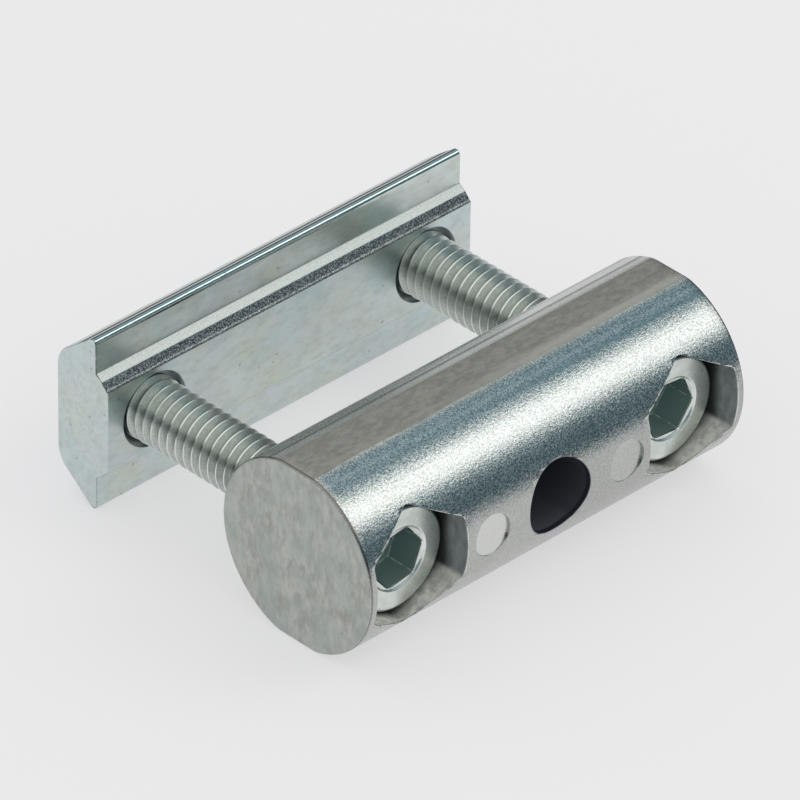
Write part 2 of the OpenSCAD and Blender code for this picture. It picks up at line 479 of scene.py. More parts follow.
def bevel_tip(bm, size, x, tip):
    """Draws the thread in to a cone at its tip."""
    for vert in bm.verts:
        widest = size.thread_diameter / 2 - max(0.0, vert.co.y - tip + size.tip_bevel)
        out = Vector((vert.co.x - x, vert.co.z))
        if out.length > widest:
            out *= widest / out.length
            vert.co.x, vert.co.z = x + out.x, out.y


def socket_tools(size, x, face, turn):
    """The hexagonal socket, its coned foot and the bevel of its mouth."""
    inner = size.socket_flats / 2
    corner = inner / math.cos(HALF_SECTOR)
    foot = face + size.socket_depth
    mouth = corner + size.socket_bevel
    cone = inner - FOOT_LEDGE
    point = foot + cone * math.tan(FOOT_SLOPE)
    return [
        rod(corner, face - OVERCUT, foot, x, segments=HEXAGON, turn=-turn - HALF_SECTOR),
        rod(cone, foot - FOOT_OVERLAP, point, x, end_radius=FOOT_POINT),
        rod(mouth + OVERCUT, face - OVERCUT, face + size.socket_bevel, x, end_radius=corner)]


def join(bm, other):
    """Adds another bmesh, which is used up."""
    mesh = bpy.data.meshes.new("joined")
    other.to_mesh(mesh)
    other.free()
    bm.from_mesh(mesh)
    bpy.data.meshes.remove(mesh)


def cap_screw(size, x, turn):
    """A socket cap screw along Y, with its thread bridged to the underside of its head."""
    face = SCREW_LOW.y / MM
    under = face + size.head_height
    tip = SCREW_HIGH.y / MM
    bm = rod(size.head_diameter / 2, face, under, x)
    rounded_edges(bm, rim_edges(bm, 1, face), size.head_round, HEAD_STEPS)
    bm = cut(bm, socket_tools(size, x, face, turn))
    soften(bm, size.edge_round, EDGE_STEPS, SCREW_HARD_EDGE)
    thread = threaded_bar(size, under, tip, x)
    bevel_tip(thread, size, x, tip)
    join(bm, thread)
    caps = [f for f in bm.faces if all(abs(v.co.y - under) < WELD for v in f.verts)]
    bmesh.ops.delete(bm, geom=caps, context="FACES_ONLY")
    bmesh.ops.bridge_loops(bm, edges=[e for e in bm.edges if e.is_boundary])
    return bm


# Slot nut

def nut_section(size):
    """Half of the nut's section as depth and height, from the front of the neck to the back."""
    front, back = NUT_LOW.y / MM, NUT_HIGH.y / MM
    lip = back - size.flange
    slope = math.tan(size.back_slope)
    over_edge = size.lip_round * (slope + 1 / math.cos(size.back_slope) - 1)
    lip_corner = size.height / 2 + over_edge
    back_corner = lip_corner - size.flange * slope
    return [
        (front, size.neck_face / 2), (front + size.knee_depth, size.neck_knee / 2), (lip, size.neck_root / 2),
        (lip, lip_corner), (back, back_corner)]


def edges_along_x(bm, y, z):
    """The edges along X at a depth, at both heights."""
    return [
        e for e in bm.edges
        if all(abs(v.co.y - y) < WELD and abs(abs(v.co.z) - z) < WELD for v in e.verts)
        and abs(e.verts[0].co.x - e.verts[1].co.x) > OVERCUT]


def nut_bar(size):
    """The bar of the nut with its lips and back rounded."""
    half = NUT_HIGH.x / MM
    upper = nut_section(size)
    outline = upper + [(y, -z) for y, z in reversed(upper)]
    bm = bmesh.new()
    face = bm.faces.new([bm.verts.new((-half, y, z)) for y, z in outline])
    made = bmesh.ops.extrude_face_region(bm, geom=[face])
    moved = [g for g in made["geom"] if isinstance(g, bmesh.types.BMVert)]
    bmesh.ops.translate(bm, vec=(2 * half, 0, 0), verts=moved)
    bmesh.ops.recalc_face_normals(bm, faces=bm.faces)
    *_, lip_corner, back_corner = upper
    # In the sharp corner of a lip the bevel's arc is a stretched one, so its width is set by how far it stays
    # below the corner
    fall = math.sin(size.back_slope)
    lip_width = (lip_corner[1] - size.height / 2) / (1 + fall - math.hypot(1, fall))
    back_half_angle = (math.radians(90) + size.back_slope) / 2
    back_width = size.back_round / math.tan(back_half_angle)
    rounded_edges(bm, edges_along_x(bm, *lip_corner), lip_width, LIP_STEPS)
    rounded_edges(bm, edges_along_x(bm, *back_corner), back_width, LIP_STEPS)
    return bm


def hole_radius(size, screw):
    """The outside radius of a tapped hole."""
    return screw.thread_diameter / 2 + size.thread_gap


def slot_nut(size, screw):
    """The nut with its tapped and countersunk holes."""
    front, back = NUT_LOW.y / MM, NUT_HIGH.y / MM
    hole = hole_radius(size, screw)
    mouth = hole + size.countersink
    tools = []
    for side in (-1, 1):
        x = side * SCREW_X / MM
        tools.append(threaded_bar(screw, front - OVERCUT, back + OVERCUT, x, size.thread_gap))
        tools.append(rod(mouth + OVERCUT, front - OVERCUT, front + size.countersink, x, end_radius=hole))
        tools.append(rod(hole, back - size.countersink, back + OVERCUT, x, end_radius=mouth + OVERCUT))
    bm = cut(nut_bar(size), tools)

    def outside_holes(edge):
        middle = (edge.verts[0].co + edge.verts[1].co) / 2
        return math.hypot(abs(middle.x) - SCREW_X / MM, middle.z) > mouth + WELD

    soften(bm, size.edge_round, NUT_EDGE_STEPS, NUT_HARD_EDGE, outside_holes)
    return bm


# Shader building

class Field:
    """A value in a shader tree, to be reckoned with like a number. Masks run from 0 to 1."""

    def __init__(self, socket):
        self.socket = socket
        self.tree = socket.id_data

    def __add__(self, other):
        return calc("ADD", self, other)

    def __sub__(self, other):
        return calc("SUBTRACT", self, other)

    def __mul__(self, other):
        return calc("MULTIPLY", self, other)

    def __truediv__(self, other):
        return calc("DIVIDE", self, other)

    def __rtruediv__(self, other):
        return calc("DIVIDE", other, self)

    def __abs__(self):
        return calc("ABSOLUTE", self)

    def __or__(self, other):
        """The stronger of two masks."""
        return calc("MAXIMUM", self, other)

    def __invert__(self):
        """What a mask leaves out."""
        return calc("SUBTRACT", 1.0, self)

    def rise(self, fade, place=None):
        """A smooth step from 0 to 1 between two values, or between two distances short of a place."""
        low, high = fade if place is None else (place - fade[0], place - fade[1])
        smooth = {"interpolation_type": "SMOOTHSTEP"}
        node = add(self.tree, "MapRange", smooth, Value=self, From_Min=low, From_Max=high)
        return Field(node.outputs["Result"])

    def fall(self, fade, place=None):
        """A smooth step from 1 to 0, given like a rise."""
        return ~self.rise(fade, place)

    def span(self, ends):
        """A mask brought to a span between two values."""
        node = add(self.tree, "MapRange", Value=self, To_Min=ends[0], To_Max=ends[1])
        return Field(node.outputs["Result"])

    def line(self, place, width):
        """A soft line where the value is near a place, as a mask."""
        return abs(self - place).fall((0.0, width))

    def stretched(self, x=1.0, y=1.0, z=1.0):
        """A vector scaled by a factor along each axis."""
        node = add(self.tree, "VectorMath", {"operation": "MULTIPLY"})
        plug(node.inputs[0], self)
        plug(node.inputs[1], (x, y, z))
        return Field(node.outputs[0])

    def parts(self):
        """The parts of a vector along X, Y and Z."""
        return [Field(socket) for socket in add(self.tree, "SeparateXYZ", Vector=self).outputs]


def plug(socket, value):
    """Links a field to an input, or sets the input to a value."""
    if isinstance(value, Field):
        value.tree.links.new(value.socket, socket)
    elif socket.type == "RGBA" and len(value) == 3:
        socket.default_value = (*value, 1.0)
    else:
        socket.default_value = value


def add(tree, kind, settings=None, **inputs):
    """A shader node with its settings and named inputs, each a value or a field to link."""
    node = tree.nodes.new("ShaderNode" + kind)
    for key, value in (settings or {}).items():
        setattr(node, key, value)
    for key, value in inputs.items():
        plug(node.inputs[key.replace("_", " ")], value)
    return node


def tree_of(values):
    """The tree of the first field among some values."""
    return next(value.tree for value in values if isinstance(value, Field))


def calc(operation, *values):
    """The result of a math node."""
    node = add(tree_of(values), "Math", {"operation": operation})
    for socket, value in zip(node.inputs, values):
        plug(socket, value)
    return Field(node.outputs[0])


# The factor, the two inputs and the output of a Mix node, for colours and for values
MIX_SOCKETS = {"RGBA": (0, 6, 7, 2), "FLOAT": (0, 2, 3, 0)}


def mixed(kind, *values):
    """A mix of two colours or values, from the factor and the two."""
    node = add(tree_of(values), "Mix", {"data_type": kind})
    *inputs, output = MIX_SOCKETS[kind]
    for index, value in zip(inputs, values):
        plug(node.inputs[index], value)
    return Field(node.outputs[output])


def layered(kind, under, layers):
    """A colour or value with others over it in turn, each with its mask and, if it is thin, its strength."""
    for over, mask, *strength in layers:
        under = mixed(kind, mask * strength[0] if strength else mask, under, over)
    return under


def painted(under, *layers):
    """A colour with layers of colour over it."""
    return layered("RGBA", under, layers)


def blended(under, *layers):
    """A value with other values over it."""
    return layered("FLOAT", under, layers)


def noise(place, size, detail, roughness=0.5, fineness=1.0):
    """Noise from 0 to 1 with features of about a size in millimetres, or so many times finer."""
    scale = 1.0 / size * fineness
    node = add(place.tree, "TexNoise", Vector=place, Scale=scale, Detail=detail, Roughness=roughness)
    return Field(node.outputs["Fac"])


def rounded_edge(tree):
    """The mark on rounded edges, as a mask."""
    return Field(add(tree, "Attribute", {"attribute_name": EDGE_LAYER}).outputs["Fac"])


def millimetre_space(tree):
    """Object coordinates in millimetres, whole and along X, Y and Z."""
    factor = 1 / MM
    place = Field(add(tree, "TexCoord").outputs["Object"]).stretched(factor, factor, factor)
    return place, *place.parts()


def distance_2d(first, second):
    """The distance from an axis, from the two coordinates across it."""
    return calc("SQRT", first * first + second * second)


def bump(height, distance=1.0):
    """A normal from a height, with the distance in millimetres that a height of 1 stands for."""
    node = add(height.tree, "Bump", Height=height, Distance=distance * MM, Strength=1.0)
    return Field(node.outputs["Normal"])


# Shared effects

def new_group(name, outputs, **sizes):
    """A shader node group with a place and named sizes as inputs: these as fields, and its outputs."""
    tree = bpy.data.node_groups.new(name, "ShaderNodeTree")
    tree.interface.new_socket("Vector", in_out="INPUT", socket_type="NodeSocketVector")
    for size_name, default in sizes.items():
        socket = tree.interface.new_socket(size_name, in_out="INPUT", socket_type="NodeSocketFloat")
        socket.default_value = default
    for output_name in outputs:
        tree.interface.new_socket(output_name, in_out="OUTPUT", socket_type="NodeSocketFloat")
    given = tree.nodes.new("NodeGroupInput").outputs
    fields = [Field(given[input_name]) for input_name in ("Vector", *sizes)]
    return fields, tree.nodes.new("NodeGroupOutput").inputs


def grain_group():
    """Tumbled grain: fine round bumps and finer ones on them."""
    (place, size), result = new_group("Tumbled grain", ("Height", "Shade"), Size=0.2)
    fineness, fine_share, contrast = 2.7, 0.35, (0.36, 0.64)
    coarse = noise(place, size, detail=1.5, roughness=0.6)
    fine = noise(place, size, detail=1.0, fineness=fineness)
    height = mixed("FLOAT", fine_share, coarse, fine)
    plug(result["Height"], height)
    plug(result["Shade"], height.rise(contrast))


def blotch_group():
    """Blotches: soft patches, as a mask."""
    (place, size), result = new_group("Blotches", ("Mask",), Size=2.0)
    contrast = (0.32, 0.68)
    plug(result["Mask"], noise(place, size, detail=3.0, roughness=0.6).rise(contrast))


def pit_group():
    """Pits: scattered small dark specks of uneven size and outline, as a mask."""
    (place, spacing, most), result = new_group("Pits", ("Mask",), Spacing=1.0, Share=0.3)
    fineness, ragged, radii, edge = 5.0, (-0.09, 0.09), (0.05, 0.16), (0.5, 1.1)
    cells = add(place.tree, "TexVoronoi", Vector=place, Scale=1.0 / spacing, Randomness=1.0).outputs
    lot = Field(add(place.tree, "SeparateColor", Color=Field(cells["Color"])).outputs[0])
    uneven = noise(place, spacing, detail=1.0, fineness=fineness)
    reach = Field(cells["Distance"]) + uneven.span(ragged)
    inside = (reach / lot.span(radii)).fall(edge)
    plug(result["Mask"], inside * calc("LESS_THAN", lot, most))


def wear_group():
    """Edge wear: the rounded edges, broken up by noise, as a mask."""
    (place, size), result = new_group("Edge wear", ("Mask",), Size=0.8)
    contrast = (0.3, 0.6)
    plug(result["Mask"], rounded_edge(place.tree) * noise(place, size, detail=2.0).rise(contrast))


def effect(place, group_name, output, **sizes):
    """A shared effect over a place, with its own sizes."""
    node = place.tree.nodes.new("ShaderNodeGroup")
    node.node_tree = bpy.data.node_groups[group_name]
    plug(node.inputs["Vector"], place)
    for key, value in sizes.items():
        plug(node.inputs[key], value)
    return Field(node.outputs[output])


# Finishes

def metal_material(name):
    """A new material with a metal shader, and its tree and shader."""
    material = bpy.data.materials.new(name)
    material.use_nodes = True
    tree = material.node_tree
    shader = tree.nodes["Principled BSDF"]
    shader.inputs["Metallic"].default_value = 1.0
    return material, tree, shader


def connect(shader, **fields):
    """Links fields to the shader's inputs."""
    for key, field in fields.items():
        plug(shader.inputs[key.replace("_", " ")], field)


# Fades of the barrel's finish in millimetres, each as its start and end
BARREL_FADES = SimpleNamespace(
    # Distances short of the end of the barrel
    end=(0.10, 0.02), rim=(0.26, 0.18), outside_end=(0.30, 0.26),
    # Distances short of a parting flat's height
    flat=(0.16, 0.05), outside_flat=(0.25, 0.15), land=(0.25, 0.08),
    # Distances short of the radius of a mark and of the bore, and short of the barrel's front line
    mark=(0.12, 0.02), bore=(-0.02, -0.16), mark_foot=(-0.4, -0.6),
    # Distances from the barrel's axis
    round_skin=(8.86, 8.94),
    # Places along X
    land_end=(10.2, 10.5), left_mark=(-1.0, 1.0), dull_side=(-4.0, 4.0), pale_edge=(-8.0, 8.0),
    front_reflection=(-9.0, 5.0), to_right=(-12.0, 0.0),
    # Places along Y
    flat_front=(-1.95, -1.6), flat_back=(2.25, 2.5), wall_shade=(-7.2, -5.9), low_wall_shade=(-6.8, -4.8),
    behind=(1.0, 2.0), in_front=(-2.7, -2.4), back_highlight=(2.2, 2.6),
    # Places along Z
    low_wall=(-3.2, -2.8), high_back=(3.6, 4.6), dull_height=(1.0, 3.0), glitter=(1.5, 3.6),
    rim_shade=(-2.0, 5.0))
# How strong each layer of the barrel's finish is at the start and at the end of its fade
BARREL_SHARES = SimpleNamespace(
    mark=(0.9, 0.25), back_highlight=(0.1, 1.0), highlight_lines=(0.25, 1.0), front_reflection=(0.35, 0.7),
    glitter=(0.3, 0.9), glitter_behind=(1.0, 0.35), pale_edge=(0.2, 1.0), rim=(0.6, 0.95),
    end_mottle=(0.0, 0.75), end_fibre=(0.0, 0.35))
BARREL_ROUGHNESS = SimpleNamespace(
    pocket=0.6, bore=0.65, skin=(0.17, 0.30), flat=(0.42, 0.54), end=(0.44, 0.54))
# How much like a metal the walls of the pockets and the outside are, where a wall is low or the outside
# carries the painted light of the upper back
BARREL_METALLIC = SimpleNamespace(walls=(0.35, 0.0), outside=(1.0, 0.5))
# Lines along the barrel, each as its height and half width in millimetres: painted shade and painted
# highlight for grooves behind, painted reflection lines in front
BARREL_LINES = SimpleNamespace(
    back_groove_shade=(8.29, 0.12), low_back_groove_shade=(7.35, 0.35), back_highlight=(8.06, 0.14), high_back_highlight=(8.50, 0.12),
    front_reflection_dark=(8.20, 0.22), front_reflection_pale=(8.457, 0.08))
# How far the ragged front edge of the cast skin wanders, and the place and half width of its paler line
SKIN_WANDER = (-0.5, 0.5)
SKIN_LINE = (-1.3, 1.0)
FIBRE_CONTRAST = (0.3, 0.7)
GRAIN_HEIGHT = 0.026
FIBRE_HEIGHT = 0.015


def barrel_finish(look):
    """Tumbled die-cast zinc: bright on the round and matt on the parting flats and ends, with painted shade
    in the bore, deep in the pockets, round the rims and low on the right of the front, painted light on the
    low pocket walls and the upper back, and painted shade, highlight and reflection lines along the barrel.
    """
    material, tree, shader = metal_material("die_cast_zinc_finish")
    place, x, y, z = millimetre_space(tree)
    fade, share, lines = BARREL_FADES, BARREL_SHARES, BARREL_LINES
    half, front, flat = BARREL_HIGH.x / MM, BARREL_LOW.y / MM, BARREL_HIGH.z / MM
    along, height, from_axis = abs(x), abs(z), distance_2d(y, z)
    streaks = noise(place.stretched(x=0.05), size=0.30, detail=3.0, roughness=0.6)
    fibres = noise(place.stretched(z=0.22), size=0.25, detail=3.0, roughness=0.6)
    grain = effect(place, "Tumbled grain", "Height", Size=0.2)
    sparkle = effect(place, "Tumbled grain", "Shade", Size=0.17)
    blotches = effect(place, "Blotches", "Mask", Size=2.2)
    mottle = effect(place.stretched(z=0.5), "Blotches", "Mask", Size=0.7)
    flat_blotches = effect(place.stretched(x=0.5), "Blotches", "Mask", Size=0.45)
    pits = effect(place, "Pits", "Mask", Spacing=1.2, Share=0.6)
    wear_and_highlight = effect(place, "Edge wear", "Mask", Size=0.8)

    on_end = along.rise(fade.end, half)
    # Painted shade: the rim is darkened, more so towards the top
    rim_shade_mask = along.rise(fade.rim, half) * ~on_end * z.rise(fade.rim_shade).span(share.rim)
    on_land = from_axis.rise(fade.land, flat) * along.fall(fade.land_end)
    outside = from_axis.rise(fade.round_skin) | on_land | height.rise(fade.outside_flat, flat)
    outside = outside | along.rise(fade.outside_end, half)
    ragged_y = y + streaks.span(SKIN_WANDER)
    on_flat = height.rise(fade.flat, flat) * ragged_y.rise(fade.flat_front) * y.fall(fade.flat_back)
    pale_edge = ragged_y.line(*SKIN_LINE) * x.rise(fade.pale_edge).span(share.pale_edge)
    # Painted shade: the bore is painted near black
    in_bore = distance_2d(x, z).fall(fade.bore, look.bore_diameter / 2)
    low_wall = z.fall(fade.low_wall)
    # Painted shade: the pocket walls darken deep in the pocket, next to the screw heads
    foot_shade = blended(y.rise(fade.wall_shade), (y.rise(fade.low_wall_shade), low_wall))
    on_mark = distance_2d(along - look.mark_offset, z).fall(fade.mark, look.mark_diameter / 2)
    on_mark = on_mark * y.fall(fade.mark_foot, front) * x.rise(fade.left_mark).span(share.mark)
    behind, in_front, to_right = y.rise(fade.behind), y.fall(fade.in_front), x.rise(fade.to_right)
    # Painted light: the upper back is painted paler, more so towards the right
    lit_upper_back = y.rise(fade.back_highlight) * z.rise(fade.high_back) * to_right.span(share.back_highlight)
    # Painted shade and painted highlight: dark groove lines and pale lines along the back
    back_groove_shade = (z.line(*lines.back_groove_shade) | z.line(*lines.low_back_groove_shade)) * behind
    back_highlight = (z.line(*lines.back_highlight) | z.line(*lines.high_back_highlight)) * behind
    back_highlight = back_highlight * to_right.span(share.highlight_lines)
    # Painted reflection: a dark band and a pale line along the front, partly streaks in the metal
    front_reflection_dark = z.line(*lines.front_reflection_dark) * in_front * x.rise(fade.front_reflection).span(share.front_reflection)
    front_reflection_pale = z.line(*lines.front_reflection_pale) * in_front
    # Painted shade: the front is darker low on the right
    shaded_low_right = x.rise(fade.dull_side) * z.fall(fade.dull_height)
    glittering = z.rise(fade.glitter).span(share.glitter) * behind.span(share.glitter_behind)
    end_shade = mottle.span(share.end_mottle) + fibres.rise(FIBRE_CONTRAST).span(share.end_fibre)

    glitter = painted(look.grain_dark, (look.grain_bright, sparkle))
    skin = painted(
        look.metal, (look.dull, blotches, 0.5), (look.dull, shaded_low_right), (glitter, glittering),
        (look.wear_and_highlight, lit_upper_back, 0.15), (look.front_reflection_shade, front_reflection_dark), (look.wear_and_highlight, front_reflection_pale, 0.5),
        (look.rim_and_groove_shade, back_groove_shade, 0.8), (look.wear_and_highlight, back_highlight, 0.55))
    flat_tone = painted(
        look.cast_skin, (look.cast_skin_dark, flat_blotches, 0.8), (look.flat_edge, pale_edge))
    end_tone = painted(look.end_metal, (look.end_metal_dark, end_shade), (look.end_green, blotches, 0.75))
    # Painted light: the low walls of the pockets, which face up, are painted pale
    lit_low_tone = painted(look.pocket_low_lit, (look.pocket_low_dark, mottle))
    pocket_tone = painted(
        look.pocket_metal, (look.pocket_metal_dark, mottle, 0.8), (lit_low_tone, low_wall),
        (look.pocket_foot, foot_shade))
    outer_tone = painted(
        skin, (flat_tone, on_flat), (look.mark_metal, on_mark), (look.rim_and_groove_shade, rim_shade_mask), (end_tone, on_end))
    tone = painted(
        pocket_tone, (outer_tone, outside), (look.pit, pits * on_end, 0.75), (look.wear_and_highlight, wear_and_highlight, 0.8),
        (look.bore_shade, in_bore))
    metallic = blended(
        low_wall.span(BARREL_METALLIC.walls), (lit_upper_back.span(BARREL_METALLIC.outside), outside))
    roughness = blended(
        BARREL_ROUGHNESS.pocket, (sparkle.span(BARREL_ROUGHNESS.skin), outside),
        (flat_blotches.span(BARREL_ROUGHNESS.flat), on_flat), (mottle.span(BARREL_ROUGHNESS.end), on_end),
        (BARREL_ROUGHNESS.bore, in_bore))
    relief = grain * GRAIN_HEIGHT + fibres * on_end * FIBRE_HEIGHT
    connect(shader, Base_Color=tone, Metallic=metallic, Roughness=roughness, Normal=bump(relief))
    return material


# Fades of the screws' finish in millimetres: places along Y, then distances from the screw's axis
SCREW_FADES = SimpleNamespace(
    thread=(-0.2, 0.0), socket_mouth=(-5.9, -5.6), groove_shade=(2.40, 2.55), crest=(2.90, 2.95), socket=(3.0, 3.2))
SCREW_ROUGHNESS = SimpleNamespace(head=(0.26, 0.34), thread=0.28, socket=0.5)
# How much like a metal the screw is off and on the flanks of its thread, and out of and in its socket
SCREW_METALLIC = SimpleNamespace(flank=(1.0, 0.85), socket=(1.0, 0.7))
# How strong the dull specks are on the head and on the thread
SCREW_SPECKS = (0.15, 0.9)
SCREW_GRAIN = 0.005


def screw_finish(look):
    """Zinc plating, painted paler on the head than on the duller thread, with painted shade in the grooves
    and green-grey painted shade in the socket, and crests paler from wear and painted glints.
    """
    material, tree, shader = metal_material("plated_screw_finish")
    place, x, y, z = millimetre_space(tree)
    fade = SCREW_FADES
    from_axis = distance_2d(abs(x) - SCREW_X / MM, z)
    grain = effect(place, "Tumbled grain", "Height", Size=0.14)
    sparkle = effect(place, "Tumbled grain", "Shade", Size=0.14)
    blotches = effect(place, "Blotches", "Mask", Size=1.4)
    wear_and_highlight = effect(place, "Edge wear", "Mask", Size=0.5)
    on_thread = y.rise(fade.thread)
    # Painted shade: darker grooves of the thread
    groove_shade = on_thread * from_axis.fall(fade.groove_shade)
    # Crests are painted pale, partly for wear and partly as painted glints
    crest = on_thread * from_axis.rise(fade.crest)
    flank = on_thread - (groove_shade | crest)
    # Painted shade: the socket is painted dark
    in_socket = y.rise(fade.socket_mouth) * ~on_thread * from_axis.fall(fade.socket)

    thread_tone = painted(look.metal, (look.dull, blotches, 0.4))
    # Painted light: the head is painted paler than the thread
    tone = painted(
        look.head, (look.metal, blotches, 0.7), (thread_tone, on_thread), (look.groove_shade, groove_shade),
        (look.dull, sparkle * on_thread.span(SCREW_SPECKS)), (look.wear_and_highlight, crest, 0.8),
        (look.socket_shade, in_socket), (look.wear_and_highlight, wear_and_highlight, 0.8))
    roughness = blended(
        blotches.span(SCREW_ROUGHNESS.head), (SCREW_ROUGHNESS.thread, on_thread),
        (SCREW_ROUGHNESS.socket, in_socket))
    metallic = calc("MINIMUM", flank.span(SCREW_METALLIC.flank), in_socket.span(SCREW_METALLIC.socket))
    connect(shader, Base_Color=tone, Metallic=metallic, Roughness=roughness, Normal=bump(grain, SCREW_GRAIN))
    return material


# Fades of the nut's finish in millimetres, each as its start and end
NUT_FADES = SimpleNamespace(
    # Distances short of the knee, of the lip face and of the neck's edges
    scale_end=(0.06, -0.02), strip_start=(0.02, -0.04), strip_end=(0.04, 0.0), scale_side=(0.06, -0.04),
    strip_side=(0.05, 0.0), back_start=(-0.32, -0.44), back_end=(-1.6, -2.8), front_edge_shade=(-0.10, -0.16),
    back_edge_shade=(-0.20, -0.40),
    # Distances short of the ends of the nut and of the radius of a countersink
    off_ends=(0.08, 0.02), at_ends=(0.14, 0.06), hole=(0.06, 0.0),
    # Heights over and under the middle
    back_height=(4.5, 5.0), lip_edge=(8.1, 8.3), edge_height=(4.0, 4.3),
    # Places along Z
    under_lip_shade=(-8.56, -8.38), upper_half=(-1.0, 1.0))
NUT_ROUGHNESS = SimpleNamespace(plating=(0.28, 0.36), scale=0.45, strip=0.48, back=0.85, lip_edge=0.12)
# How strong each layer of the nut's finish is where its mask is 0 and where it is 1
NUT_SHARES = SimpleNamespace(
    clouds=(0.35, 0.9), dark_band_highlight=(0.1, 0.7), front_edge_shade=(0.35, 0.8), pits=(0.5, 0.0))
NUT_CONTRAST = SimpleNamespace(smears=(0.42, 0.7), specks=(0.3, 1.1), broken_edge=(0.3, 0.55))
# The painted highlight line in the dark band just over the edge of the neck's face: its distance over that
# edge, and its half width
DARK_BAND_HIGHLIGHT_RISE, DARK_BAND_HIGHLIGHT_WIDTH = 0.16, 0.10
# Height of the grain on the plating and on the dark band
NUT_GRAIN = (0.006, 0.05)


def nut_finish(look):
    """Blue-white zinc plating with warm and cool tints, small pits, a dark speckled band on the neck's sloped
    sides, and painted shade in the holes, on the back bevels, along the end edges and under the lower lip.
    """
    material, tree, shader = metal_material("plated_nut_finish")
    place, x, y, z = millimetre_space(tree)
    fade, share, contrast = NUT_FADES, NUT_SHARES, NUT_CONTRAST
    half, lip, knee = NUT_HIGH.x / MM, NUT_HIGH.y / MM - look.flange, NUT_LOW.y / MM + look.knee_depth
    face_side = look.neck_face / 2
    along, height = abs(x), abs(z)
    speckles = effect(place, "Tumbled grain", "Shade", Size=0.13)
    grain = effect(place, "Tumbled grain", "Height", Size=0.25)
    shades = effect(place, "Blotches", "Mask", Size=5.0)
    blush = effect(place.stretched(x=0.5), "Blotches", "Mask", Size=3.0)
    clouds = effect(place.stretched(x=0.6), "Blotches", "Mask", Size=1.8)
    pits = effect(place, "Pits", "Mask", Spacing=1.4, Share=0.8)
    smears = noise(place.stretched(x=0.4), size=0.6, detail=4.0, roughness=0.65)

    off_ends = along.fall(fade.off_ends, half)
    # A dark speckled band on the sloped sides of the neck
    on_dark_band = y.fall(fade.scale_end, knee) * z.rise(fade.scale_side, face_side) * off_ends
    on_strip = y.rise(fade.strip_start, knee) * y.fall(fade.strip_end, lip) * off_ends
    on_strip = on_strip * height.rise(fade.strip_side, look.neck_knee / 2)
    # Painted shade: the back bevels behind the lips are painted almost black
    shaded_back = y.rise(fade.back_start, lip) * y.fall(fade.back_end, lip) * off_ends
    shaded_back = shaded_back * height.rise(fade.back_height)
    # Painted shade: the countersinks round the screws are darkened
    hole_shade = distance_2d(along - SCREW_X / MM, z).fall(fade.hole, look.mouth)
    at_end = rounded_edge(tree) * along.rise(fade.at_ends, half)
    # Painted shade: the rounded end edges are darkened, at the front more on the upper half and broken up, at
    # the back more faintly
    front_edge_shade = at_end * height.rise(fade.edge_height) * y.fall(fade.front_edge_shade, lip)
    front_edge_shade = front_edge_shade * z.rise(fade.upper_half).span(share.front_edge_shade)
    front_edge_shade = front_edge_shade * smears.rise(contrast.broken_edge)
    back_edge_shade = at_end * y.rise(fade.back_edge_shade, lip)
    # Painted highlight: a pale speckled line just over the edge of the neck's face
    dark_band_highlight = on_dark_band * z.line(face_side + DARK_BAND_HIGHLIGHT_RISE, DARK_BAND_HIGHLIGHT_WIDTH)
    dark_band_highlight = dark_band_highlight * speckles.span(share.dark_band_highlight)

    tint = painted(look.warm_tint, (look.cool_tint, shades), (look.pink_tint, blush, 0.5))
    strip_tone = painted(look.strip, (look.wear_and_highlight, speckles))
    dark_band_tone = painted(
        look.scale, (look.scale_speck, speckles.rise(contrast.specks)), (look.wear_and_highlight, dark_band_highlight))
    # Painted shade: the underside of the lower lip is darkened
    tone = painted(
        look.metal, (tint, clouds.span(share.clouds)), (look.smear, smears.rise(contrast.smears), 0.45),
        (strip_tone, on_strip), (dark_band_tone, on_dark_band), (look.scale, shaded_back, 0.9),
        (look.scale, hole_shade, 0.55), (look.scale, front_edge_shade), (look.scale, back_edge_shade, 0.35),
        (look.pit, z.fall(fade.under_lip_shade), 0.45), (look.pit, pits * shaded_back.span(share.pits)))
    roughness = blended(
        clouds.span(NUT_ROUGHNESS.plating), (NUT_ROUGHNESS.scale, on_dark_band), (NUT_ROUGHNESS.strip, on_strip),
        (NUT_ROUGHNESS.back, shaded_back), (NUT_ROUGHNESS.lip_edge, height.rise(fade.lip_edge)))
    relief = grain * on_dark_band.span(NUT_GRAIN)
    connect(shader, Base_Color=tone, Roughness=roughness, Normal=bump(relief))
    return material


# Stage

FLOOR_HALF = 3.0
DOME_RADIUS = 2.0
DOME_SEGMENTS = 48
FRONT_CARD_HALF = 0.5
FRONT_CARD_HEIGHT = 0.02
FRONT_CARD_Y = -0.075
KEY_DIRECTION = (0.576, -0.462, 0.674)
KEY_DISTANCE = 0.8
KEY_WIDTH, KEY_HEIGHT = 0.38, 0.36
KEY_RADIANCE = 1.82
PHOTO_SIDE = 800
SENSOR_WIDTH = 36.0
CLIP_START, CLIP_END = 0.01, 50.0
# Where the middle of the barrel lies in the photo, and the photo's scale there
ORIGIN_PIXEL = (485.714, 453.003)
PIXELS_PER_MM = 11.854
# Where the cards of the dome change: turns in degrees, from 0 at the back horizon over 90 overhead to 180 at
# the front horizon, then parts of a direction along X and Z
CARD_FADES = SimpleNamespace(
    back_panel=(26.0, 46.0), overhead=(50.0, 64.0), top_start=(30.0, 40.0), front=(132.0, 166.0),
    top_side=(0.38, 0.48), right_side=(0.66, 0.78), left_side=(0.50, 0.62), left_top=(0.36, 0.52))


def bare_material(name):
    """A new material with nothing in its tree, and the tree."""
    material = bpy.data.materials.new(name)
    material.use_nodes = True
    material.node_tree.nodes.clear()
    return material, material.node_tree


def show(shader):
    """Links a shader to the surface of its material."""
    tree = shader.id_data
    tree.links.new(shader.outputs[0], add(tree, "OutputMaterial").inputs["Surface"])


